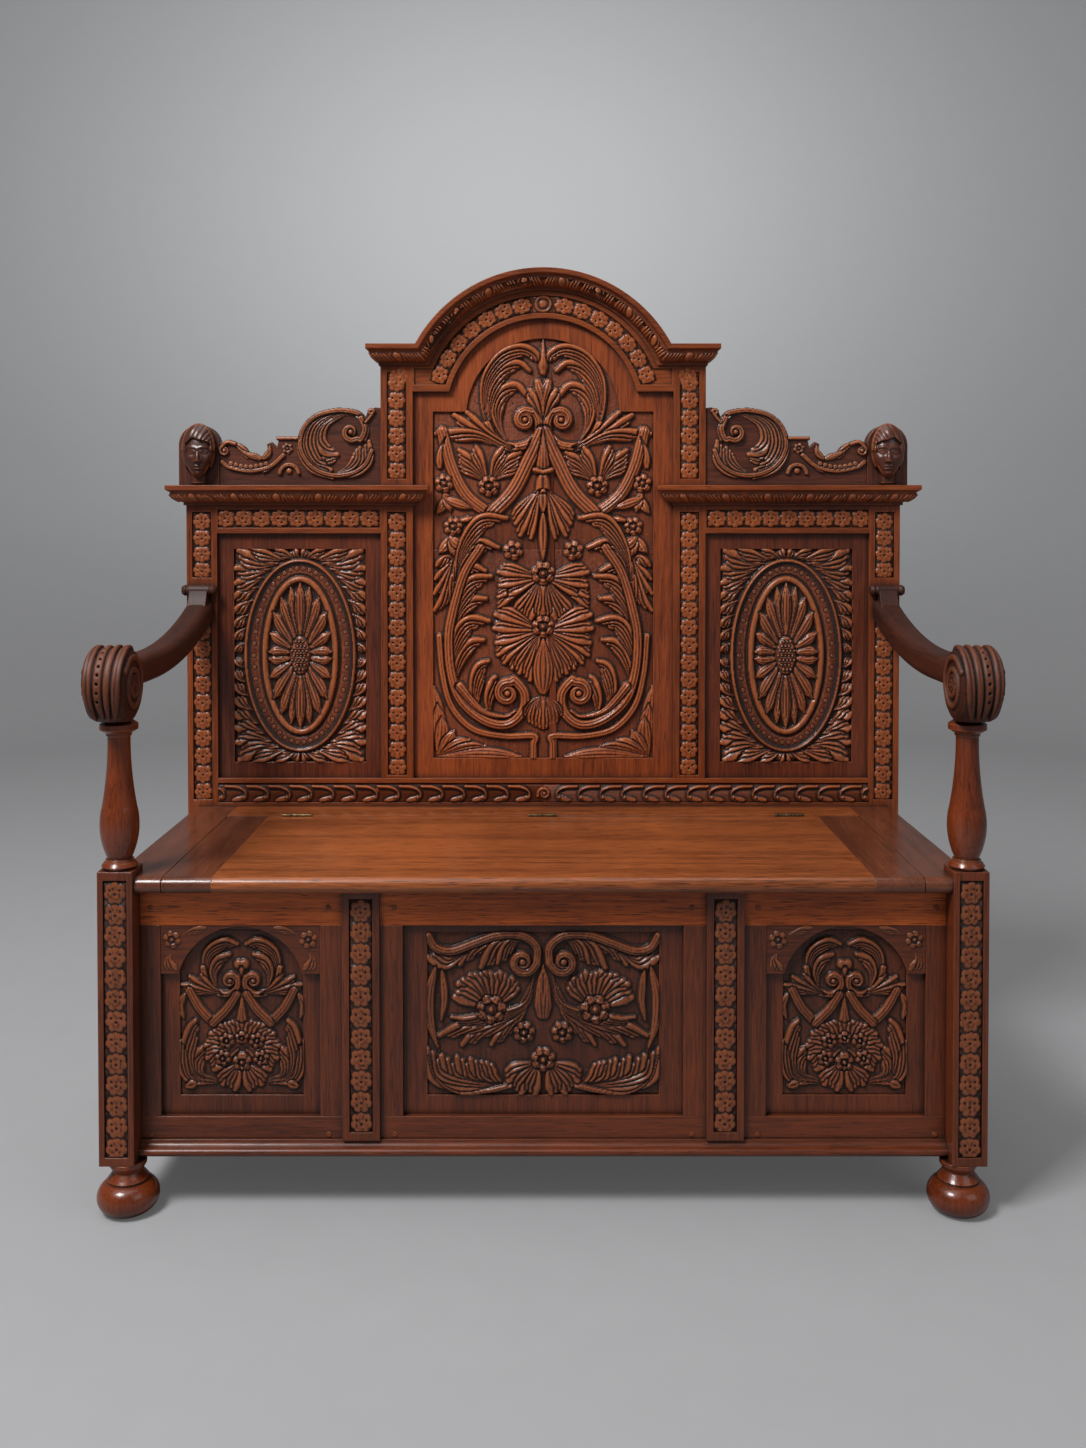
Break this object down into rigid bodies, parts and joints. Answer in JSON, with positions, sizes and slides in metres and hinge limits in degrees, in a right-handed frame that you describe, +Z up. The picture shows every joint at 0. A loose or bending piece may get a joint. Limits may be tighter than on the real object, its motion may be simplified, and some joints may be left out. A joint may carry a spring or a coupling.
{
  "type": "settle bench",
  "caption": "Carved oak box settle with a hinged lid seat, a tall panelled back under an arched cornice, and scrolled arms on turned balusters.",
  "frame": {"origin": "on the floor, under the middle of the settle's bounding box", "axes": "+Z up, -Y towards the front of the seat, +X to the right of someone facing it"},
  "size_m": [1.33, 0.575, 1.441],
  "materials": {
    "carved_oak": "waxed, dark",
    "turned_oak": "polished, dark",
    "seat_oak": "worn polish",
    "inner_oak": "bare, aged",
    "hinge_brass": "tarnished"
  },
  "bodies": {
    "frame": {"arch_cornice": "carved_oak", "arch_head": "carved_oak", "arm_left": "turned_oak", "arm_right": "turned_oak", "back_stile_left": "carved_oak", "back_stile_right": "carved_oak", "baluster_left": "turned_oak", "baluster_right": "turned_oak", "box_back_board": "inner_oak", "box_rear_rail": "inner_oak", "bun_foot_left": "turned_oak", "bun_foot_right": "turned_oak", "centre_panel": "carved_oak", "centre_stile_left": "carved_oak", "centre_stile_right": "carved_oak", "crest_left": "carved_oak", "crest_right": "carved_oak", "floor_boards": "inner_oak", "floor_ledges": "inner_oak", "front_bottom_rail": "carved_oak", "front_muntin_left": "carved_oak", "front_muntin_right": "carved_oak", "front_panel_centre": "carved_oak", "front_panel_left": "carved_oak", "front_panel_right": "carved_oak", "front_pilaster_left": "carved_oak", "front_pilaster_right": "carved_oak", "front_post_left": "carved_oak", "front_post_right": "carved_oak", "front_stile_left": "carved_oak", "front_stile_right": "carved_oak", "front_top_rail": "carved_oak", "head_finial_left": "carved_oak", "head_finial_right": "carved_oak", "head_rail_left": "carved_oak", "head_rail_right": "carved_oak", "hinge_pins": "hinge_brass", "hinge_rail_leaves": "hinge_brass", "oval_panel_left": "carved_oak", "oval_panel_right": "carved_oak", "plinth_moulding": "carved_oak", "seat_end_board_left": "seat_oak", "seat_end_board_right": "seat_oak", "seat_rail": "carved_oak", "seat_rear_board": "seat_oak", "side_bottom_rail_left": "carved_oak", "side_bottom_rail_right": "carved_oak", "side_cornice_left": "carved_oak", "side_cornice_right": "carved_oak", "side_panel_left": "carved_oak", "side_panel_right": "carved_oak", "side_top_rail_left": "carved_oak", "side_top_rail_right": "carved_oak", "spandrel_left": "carved_oak", "spandrel_right": "carved_oak"},
    "lid": {"lid_board": "seat_oak", "lid_clamp_left": "seat_oak", "lid_clamp_right": "seat_oak", "hinge_lid_leaves": "hinge_brass"}
  },
  "joints": [
    {"name": "lid_hinge", "type": "hinge", "parent": "frame", "child": "lid", "pos_m": [0, 0.1645, 0.488], "axis": [-1, 0, 0], "range_deg": [0, 100]}
  ]
}
